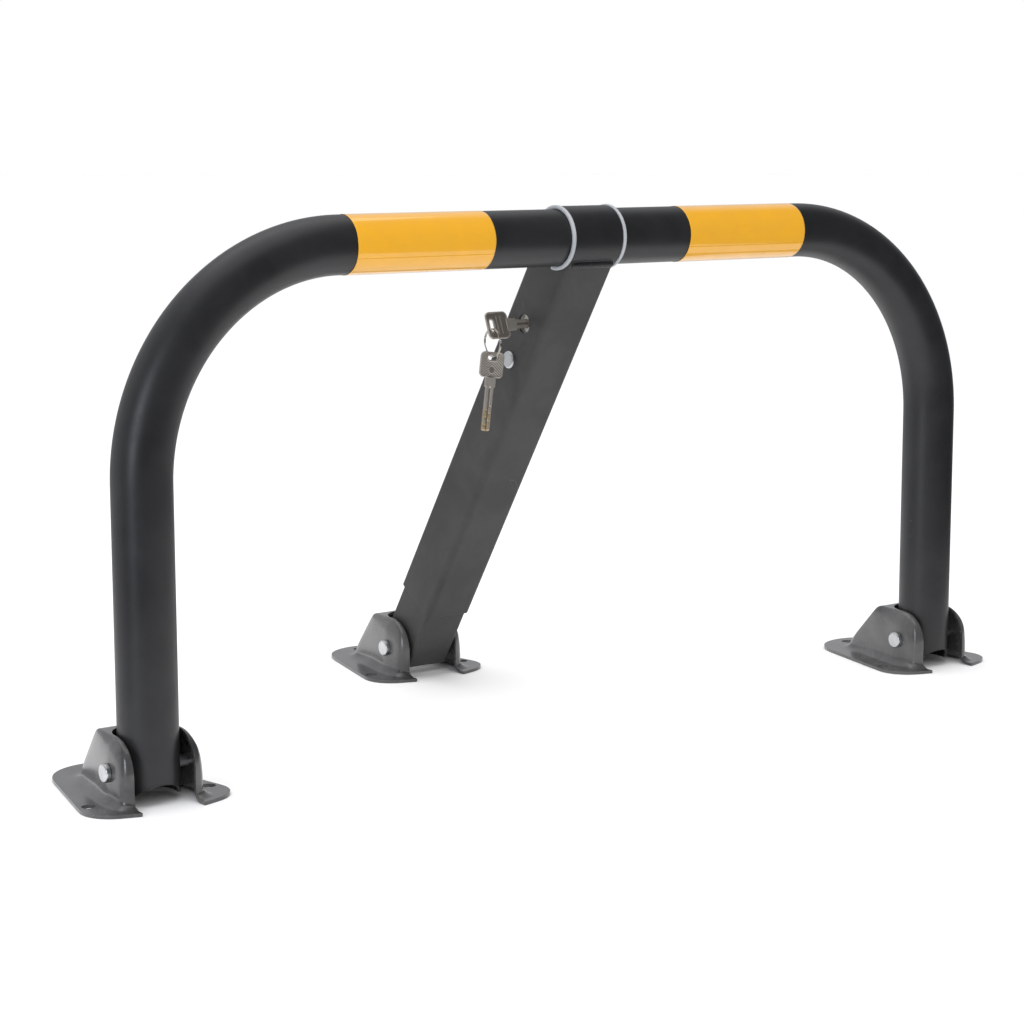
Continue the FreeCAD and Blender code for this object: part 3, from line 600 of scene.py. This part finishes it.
tape_yellow, tree, shader = start_material("tape_yellow", Coat_Weight=1.0, Coat_Roughness=0.04,
                                           Coat_IOR=1.55, Specular_IOR_Level=0.4)
spot = add_node(tree, "TexCoord").outputs["Object"]
film = use_group(tree, grain, Spot=spot, Grain_Scale=420.0, Cloud_Scale=30.0)
wear = use_group(tree, scuffs, Spot=spot, Line_Scale=34.0, Patch_Scale=22.0)
tone = blend_colour(tree, film["Cloud"], TAPE_YELLOW, TAPE_DEEP)
tone = blend_colour(tree, sum_up(tree, "MULTIPLY", wear["Scratch"], 0.5), tone, TAPE_DIRT)
wire(tree, shader.inputs["Base Color"], tone)
wire(tree, shader.inputs["Roughness"], between(tree, film["Cloud"], 0.2, 0.8, 0.3, 0.45))
relief = add_node(tree, "Bump", {"Height": film["Height"], "Strength": 0.04, "Distance": 0.0002})
wire(tree, shader.inputs["Normal"], relief.outputs[0])
wire(tree, shader.inputs["Coat Normal"], relief.outputs[0])
for phase, (side, (x0, x1)) in enumerate(TAPE_SPANS.items()):
    band = place("tape_band_" + side,
                 grid_mesh("tape_" + side, tape_surface(x0, x1, 1.3 * phase)), tape_yellow)
    wall = band.modifiers.new("film", "SOLIDIFY")
    wall.thickness = TAPE_FILM * MM
    wall.offset = -1
    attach(band, "hoop")
    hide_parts("tape_" + side)

# ---- Retaining rings
# Two split rings of spring steel in pale grey paint, sprung on to the bar on each side of the
# collar, so that it turns without sliding.
ring_grey = coated("ring_grey", (0.33, 0.345, 0.365, 1), (0.42, 0.435, 0.455, 1), 1500.0, 0.08, (0.3, 0.42),
                   scuff=(0.3, 0.3, 0.3, 1), edge_pale=(0.75, 0.76, 0.78, 1))
RING_SIDES = {"left": -1, "right": 1}
RING_SPAN = (26.7, 30.0)
RING_BORE = 25.6
RING_RIM = 29.15
RING_MOUTH = {"middle": math.radians(150), "half": math.radians(15)}


def closed_poles(mesh):
    """Merges the points that lie on each other, so that poles and seams are closed."""
    work = bmesh.new()
    work.from_mesh(mesh)
    bmesh.ops.remove_doubles(work, verts=work.verts, dist=0.00001)
    bmesh.ops.recalc_face_normals(work, faces=work.faces)
    work.to_mesh(mesh)
    work.free()
    return mesh


def snap_ring_surface(side):
    """A squarish section, |c| ** 0.6 of the cosine and the sine of one turn, carried round the bar
    from one lip of the mouth to the other; it shrinks to a point at each lip."""
    share = np.linspace(-1, 1, 160)[:, None]
    angle = RING_MOUTH["middle"] + np.pi + share * (np.pi - RING_MOUTH["half"])
    size = np.clip(1 - share**60, 0, 1) ** 0.5
    turn = np.linspace(0, 2 * np.pi, 20, endpoint=False)
    wide = np.sign(np.cos(turn)) * np.abs(np.cos(turn)) ** 0.6 * size
    deep = np.sign(np.sin(turn)) * np.abs(np.sin(turn)) ** 0.6 * size
    x = side * (sum(RING_SPAN) + (RING_SPAN[1] - RING_SPAN[0]) * wide) / 2
    radius = (RING_RIM + RING_BORE + (RING_RIM - RING_BORE) * deep) / 2
    return np.stack([x, HOOP_Y + radius * np.sin(angle), BAR_Z + radius * np.cos(angle)], -1)


for side, sign in RING_SIDES.items():
    ring_mesh = closed_poles(grid_mesh("snap_" + side, snap_ring_surface(sign), closed_v=True))
    snap_ring = place("snap_ring_" + side, ring_mesh, ring_grey)
    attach(snap_ring, "hoop")
    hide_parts("retaining_ring_" + side)

# ---- Collar and weld
# A short sleeve that turns on the bar, and the bead that joins the prop's saddle end to it; both
# are under the same satin black coat, thinner over the weld's ripples.
PROP_LEAN = math.radians(33.134)
PROP_HALF_DEPTH = 27.5
WELD_HALF_RUN = 23.0
WELD_PITCH = 3.4
WELD_HALF_SIZE = {"across": 2.5, "along": 3.6}
WELD_DOWN = 11.2


def from_prop(x, across, along):
    """Row-frame points from the prop's own: x, across its depth (positive at the back), and along
    it down from the bar's axis."""
    sin, cos = math.sin(PROP_LEAN), math.cos(PROP_LEAN)
    return np.stack([x + 0 * across, HOOP_Y + across * cos + along * sin,
                     BAR_Z + across * sin - along * cos], -1)


def weld_surface(side):
    """An oval bead along x whose size swells by |sin| once a ripple and closes at both ends."""
    share = np.linspace(-1, 1, 180)[:, None]
    x = WELD_HALF_RUN * share
    swell = 0.84 + 0.16 * np.abs(np.sin(np.pi * x / WELD_PITCH + 0.4 * np.sin(x)))
    size = swell * np.sqrt(np.clip(1 - share**12, 0, 1))
    around = np.linspace(0, 2 * np.pi, 24, endpoint=False)
    across = side * (PROP_HALF_DEPTH + 0.2 + WELD_HALF_SIZE["across"] * size * np.cos(around))
    return from_prop(x, across, WELD_DOWN + WELD_HALF_SIZE["along"] * size * np.sin(around))


def joined(name, meshes):
    """Several meshes as one."""
    work = bmesh.new()
    for mesh in meshes:
        work.from_mesh(mesh)
    whole = bpy.data.meshes.new(name)
    work.to_mesh(whole)
    work.free()
    return whole


beads = [closed_poles(grid_mesh("bead", weld_surface(side), closed_v=True)) for side in (-1, 1)]
weld = place("saddle_weld", joined("saddle_weld", beads), black_coat)
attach(weld, "prop_upper")
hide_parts("collar_weld")
finish_nodes(black_coat, "collar_sleeve")

# ---- Prop: outer tube and inner channel
# A square tube with rolled corners, saddle-cut to the collar, slides over a folded channel that
# is pinned in the prop's foot; both are sprayed in flat charcoal paint.
CHARCOAL = (0.027, 0.0262, 0.0265, 1)
CHARCOAL_PALE = (0.043, 0.042, 0.042, 1)
prop_paint = coated("prop_charcoal", CHARCOAL, CHARCOAL_PALE, 1300.0, 0.2, (0.5, 0.62),
                    scuff=(0.1, 0.1, 0.1, 1), edge_pale=(0.085, 0.085, 0.086, 1), edge_width=0.0009,
                    Specular_IOR_Level=0.45)
finish_nodes(prop_paint, "prop_outer_tube", "prop_inner_channel")

# ---- Lock case and its rivet
# A zinc die-cast block inside the outer tube, held by one domed steel rivet through its wall.
# The cylinder's bore and the cam's turn are inside it.
case_metal = plated("cast_zinc", (0.46, 0.47, 0.48, 1), (0.33, 0.34, 0.35, 1), (0.45, 0.6),
                    (0.25, 0.25, 0.25, 1))
finish_nodes(case_metal, "lock_case")
finish_nodes(zinc, "case_rivet", "lock_cam", "cam_screw")

# ---- Cylinder, plug and tumblers
# A nickel-plated brass cylinder with a turning plug, five pairs of brass pins and steel springs:
# the key lifts the pins to the shear line and turns the plug with its cam.
NICKEL = (0.60, 0.56, 0.51, 1)
NICKEL_DULL = (0.48, 0.445, 0.40, 1)
nickel = plated("nickel_plate", NICKEL, NICKEL_DULL, (0.2, 0.36), (0.2, 0.18, 0.16, 1), 0.0003)
brass = plated("pin_brass", (0.72, 0.52, 0.24, 1), (0.5, 0.36, 0.17, 1), (0.25, 0.4),
               (0.3, 0.2, 0.1, 1), 0.0002)
spring_steel = plated("spring_steel", (0.5, 0.5, 0.52, 1), (0.38, 0.38, 0.4, 1), (0.25, 0.4),
                      (0.2, 0.2, 0.2, 1), 0.0002)
finish_nodes(nickel, "lock_cylinder", "lock_plug")
finish_nodes(brass, "key_pins", "driver_pins")
finish_nodes(spring_steel, "pin_springs")

# ---- Keys: one in the lock, one spare
# Both are nickel-plated brass dimple keys, stamped from one blank: a bow with a raised rim and a
# slot for the ring, a shoulder, and a grooved blade whose drilled dimples show the brass.
BOW_LENGTH = 23.5
BOW_HALF_WIDTH = 12.75
BOW_CORNER = 4.5
BOW_STEPS = 288
KEY_HALF_THICKNESS = 1.1
PANEL_DEPTH = 0.4
RIM_WIDTH = 1.5
SLOT_FROM_END = 5.2
SLOT_HALF_LENGTH = 5.5
SLOT_RADIUS = 2.3
SHOULDER_END = 32.5
SHOULDER_HALF = 5.9
BLADE_HALF = 4.3
BLADE_END = 72.5
GROOVE = {"half": 1.3, "depth": 0.5}
DIMPLES = [(50.5, 1.9), (54.0, -2.1), (57.0, 2.0), (60.5, -1.9), (64.0, 2.1), (67.5, -2.0)]
DIMPLE = {"radius": 1.15, "depth": 0.5}
KEY_BRASS = (0.62, 0.46, 0.24, 1)
KEY_RECESS_SHADE = (0.15, 0.13, 0.112, 1)
KEY_TILT = math.radians(-22)
LOCK_FROM_BAR = 96.0
KEY_OUTER_END = -67.2
SPARE_LEAN = math.radians(97.5)
SPARE_HANG = np.array([-62.0, -129.05, 341.658])
SPARE_WIRE_IN_SLOT = 4.1


def smooth_step(value, low, high):
    """0 below low, 1 above high and 3t^2 - 2t^3 between."""
    t = np.clip((value - low) / (high - low), 0, 1)
    return t * t * (3 - 2 * t)


def bow_relief(x, y, inset, ribbed):
    """Height of the bow's face: a raised rim; on one face two bars across, on the other slanted
    ribs to each side of a plain oval."""
    rim = 1 - smooth_step(inset, RIM_WIDTH - 0.3, RIM_WIDTH + 0.2)
    if ribbed:
        wave = 0.5 + 0.5 * np.cos(2 * np.pi * (0.8 * x - 0.6 * np.abs(y)) / 1.9)
        oval = smooth_step(np.hypot((x - 16) / 3.6, y / 3.0), 0.85, 1.0)
        ring = 1 - smooth_step(np.abs(np.hypot((x - 16) / 3.6, y / 3.0) - 1), 0.06, 0.16)
        figure = np.maximum(0.75 * wave * oval, 0.9 * ring)
    else:
        bars = np.minimum(np.abs(x - 11.2), np.abs(x - 15.6))
        figure = (1 - smooth_step(bars, 0.35, 0.75)) * (1 - smooth_step(np.abs(y), 8.0, 8.6))
    return KEY_HALF_THICKNESS - PANEL_DEPTH * (1 - np.maximum(rim, figure))


def bow_surface(face_ribbed):
    """A ring between the bow's outline and its slot: across the near face from outline to slot,
    down the slot's wall, back across the far face, and up the outer wall."""
    half, r = BOW_HALF_WIDTH, BOW_CORNER
    right, top = BOW_LENGTH - r, half - r
    outline = spread([np.vstack([
        [[BOW_LENGTH, 0]], arc(right, top, r, 0, 90), arc(r, top, r, 90, 180),
        arc(r, -top, r, 180, 270), arc(right, -top, r, 270, 360), [[BOW_LENGTH, 0]]])], [BOW_STEPS])[:-1]
    reach = SLOT_HALF_LENGTH - SLOT_RADIUS
    slot = spread([np.vstack([
        [[SLOT_FROM_END + SLOT_RADIUS, 0]], arc(SLOT_FROM_END, reach, SLOT_RADIUS, 0, 180),
        arc(SLOT_FROM_END, -reach, SLOT_RADIUS, 180, 360),
        [[SLOT_FROM_END + SLOT_RADIUS, 0]]])], [BOW_STEPS])[:-1]
    share = np.r_[0, 0.01, 0.025, np.linspace(0.05, 0.95, 44), 0.975, 0.99, 1]
    across = outline[:, None] + (slot - outline)[:, None] * share[:, None]
    width = np.linalg.norm(slot - outline, axis=-1)[:, None]
    inset, to_slot = share * width, (1 - share) * width
    lip = 0.22 * (1 - smooth_step(np.minimum(inset, to_slot), 0, 0.35))
    faces = []
    for ribbed in (face_ribbed, not face_ribbed):
        height = bow_relief(across[..., 0], across[..., 1], np.minimum(inset, to_slot), ribbed) - lip
        faces.append(np.concatenate([across, height[..., None]], -1))
    return np.concatenate([faces[0], (faces[1] * (1, 1, -1))[:, ::-1]], 1)


def shank_surface():
    """A rounded flat bar along x from inside the bow to the tip: half width w(x) steps down at the
    shoulder, both faces have the groove and the dimples, and it closes at both ends."""
    x = np.r_[21.5, np.linspace(21.55, BLADE_END - 2, 230),
              BLADE_END - 2 + 2 * np.sin(np.radians(np.linspace(6, 90, 16)))][:, None]
    half = SHOULDER_HALF - (SHOULDER_HALF - BLADE_HALF) * smooth_step(x, SHOULDER_END - 0.9, SHOULDER_END)
    nose = np.sqrt(np.clip(1 - ((x - BLADE_END + 2) / 2) ** 2 * (x > BLADE_END - 2), 0, 1))
    half = half * (0.62 + 0.38 * nose) * (nose > 0) * (x > 21.5)
    lane = np.linspace(-1, 1, 61)
    y = half * np.sign(lane) * np.abs(lane) ** 0.9
    bar = (np.clip(1 - np.abs(lane) ** 14, 0, 1)) ** 0.3
    cut = GROOVE["depth"] * (1 - smooth_step(np.abs(y), GROOVE["half"] - 0.25, GROOVE["half"]))
    cut = cut * smooth_step(x, SHOULDER_END - 1, SHOULDER_END + 1)
    centres = np.array(DIMPLES)
    near = np.hypot(x[..., None] - centres[:, 0], y[..., None] - centres[:, 1]).min(-1)
    drilled = 1 - smooth_step(near, 0.3, DIMPLE["radius"])
    deep = (KEY_HALF_THICKNESS * bar - np.maximum(cut, DIMPLE["depth"] * drilled) * bar) * nose
    deep = np.maximum(deep, 0) * (x > 21.5)
    face = np.stack([x + 0 * y, y, deep], -1)
    return np.concatenate([face, (face * (1, 1, -1))[:, -2:0:-1]], 1)


def mark_wear_and_shade_depth(mesh, spots):
    """Marks how far the plating is worn through, from 0 at the shoulder to 1 at the blade's tip,
    and how deep a point lies below the key's face, from 0 at the face to 1 at the panel; the depth
    sets the painted shade in the bow's recesses."""
    worn = smooth_step(spots[:, 0], 46, 60)
    recess = smooth_step(KEY_HALF_THICKNESS - np.abs(spots[:, 2]), 0.05, PANEL_DEPTH)
    for name, values in (("brass_shows", worn), ("recess", recess)):
        mark = mesh.attributes.new(name, "FLOAT", "POINT")
        mark.data.foreach_set("value", values.astype(np.float32))


def key_mesh(name, face_ribbed, place_points):
    """Bow and shank of a key, drawn flat, put in place by a function of its points."""
    parts = []
    for points in (bow_surface(face_ribbed), shank_surface()):
        closed = len(points) == BOW_STEPS
        flat = grid_mesh(name, points, closed_u=closed, closed_v=True)
        closed_poles(flat)
        spots = np.zeros(len(flat.vertices) * 3, np.float32)
        flat.vertices.foreach_get("co", spots)
        spots = spots.reshape(-1, 3) / MM
        mark_wear_and_shade_depth(flat, spots)
        flat.vertices.foreach_set("co", (place_points(spots) * MM).astype(np.float32).ravel())
        parts.append(flat)
    whole = joined(name, parts)
    whole.polygons.foreach_set("use_smooth", np.ones(len(whole.polygons), bool))
    return whole


def in_the_lock(flat):
    """Key points (along, across, thickness) with the tip along +x, tilted about the lock's axis."""
    axis = from_prop(0.0, np.zeros(1), np.array([LOCK_FROM_BAR]))[0]
    sin, cos = math.sin(KEY_TILT), math.cos(KEY_TILT)
    along, across, thick = flat.T
    return np.stack([along + KEY_OUTER_END, axis[1] - thick * cos - across * sin,
                     axis[2] - thick * sin + across * cos], -1)


def on_the_ring(flat):
    """Key points hung tip down from the ring, turned about y by a right angle and a small lean."""
    sin, cos = math.sin(SPARE_LEAN), math.cos(SPARE_LEAN)
    along, across, thick = flat.T
    along = along - SPARE_WIRE_IN_SLOT
    turned = np.stack([along * cos + across * sin, -thick, across * cos - along * sin], -1)
    return turned + SPARE_HANG


key_metal, tree, shader = start_material("key_nickel", Metallic=0.75)
spot = add_node(tree, "TexCoord").outputs["Object"]
coat = use_group(tree, grain, Spot=spot, Grain_Scale=1800.0, Cloud_Scale=110.0)
wear = use_group(tree, scuffs, Spot=spot, Line_Scale=260.0, Patch_Scale=90.0)
worn = add_node(tree, "Attribute", attribute_name="brass_shows").outputs["Fac"]
worn = sum_up(tree, "MULTIPLY", worn, between(tree, coat["Cloud"], 0.35, 0.62))
tone = blend_colour(tree, coat["Cloud"], NICKEL, NICKEL_DULL)
tone = blend_colour(tree, worn, tone, KEY_BRASS)
# Painted shade: the bow's sunken panels are darkened towards a grey-brown by their depth below the face.
recess = add_node(tree, "Attribute", attribute_name="recess").outputs["Fac"]
tone = blend_colour(tree, sum_up(tree, "MULTIPLY", recess, 0.62), tone, KEY_RECESS_SHADE)
tone = blend_colour(tree, sum_up(tree, "MULTIPLY", wear["Scratch"], 0.35), tone, (0.25, 0.22, 0.2, 1))
wire(tree, shader.inputs["Base Color"], tone)
wire(tree, shader.inputs["Roughness"], between(tree, coat["Cloud"], 0.2, 0.8, 0.3, 0.42))
relief = add_node(tree, "Bump", {"Height": coat["Height"], "Strength": 0.05, "Distance": 0.00005})
wire(tree, shader.inputs["Normal"], relief.outputs[0])
turned_key = place("key_in_lock", key_mesh("key_in_lock", False, in_the_lock), key_metal)
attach(turned_key, "key_and_plug")
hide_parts("key_inserted")
hung_key = place("key_on_ring", key_mesh("key_on_ring", True, on_the_ring), key_metal)
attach(hung_key, "spare_key")
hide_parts("key_spare")

# ---- Split ring
# Spring wire wound nearly twice round, its turns lying side by side, through the slots of both
# keys.
RING_CENTRE = (-62.0, -129.05, 354.058)
RING_RADIUS = 12.4
RING_WIRE = {"side": 0.43, "deep": 0.8}


def ring_surface():
    """An oval wire carried twice round a circle; it steps sideways by its own width in one short
    stretch, and its ends close."""
    turn = np.linspace(0, 4 * np.pi - 0.5, 260)[:, None]
    step = smooth_step(turn, 2 * np.pi - 0.75, 2 * np.pi - 0.1)
    ends = np.sqrt(np.clip(np.minimum(turn, turn[-1] - turn) / 0.06, 0, 1))
    around = np.linspace(0, 2 * np.pi, 18, endpoint=False)
    side = (2 * step - 1) * RING_WIRE["side"] + ends * RING_WIRE["side"] * np.cos(around)
    radius = RING_RADIUS + ends * RING_WIRE["deep"] * np.sin(around)
    x, y, z = RING_CENTRE
    return np.stack([x + side, y + radius * np.sin(turn + 2.2), z + radius * np.cos(turn + 2.2)], -1)


split_ring = place("split_ring", closed_poles(grid_mesh("split_ring", ring_surface(), closed_v=True)),
                   nickel)
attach(split_ring, "ring")
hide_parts("key_ring")
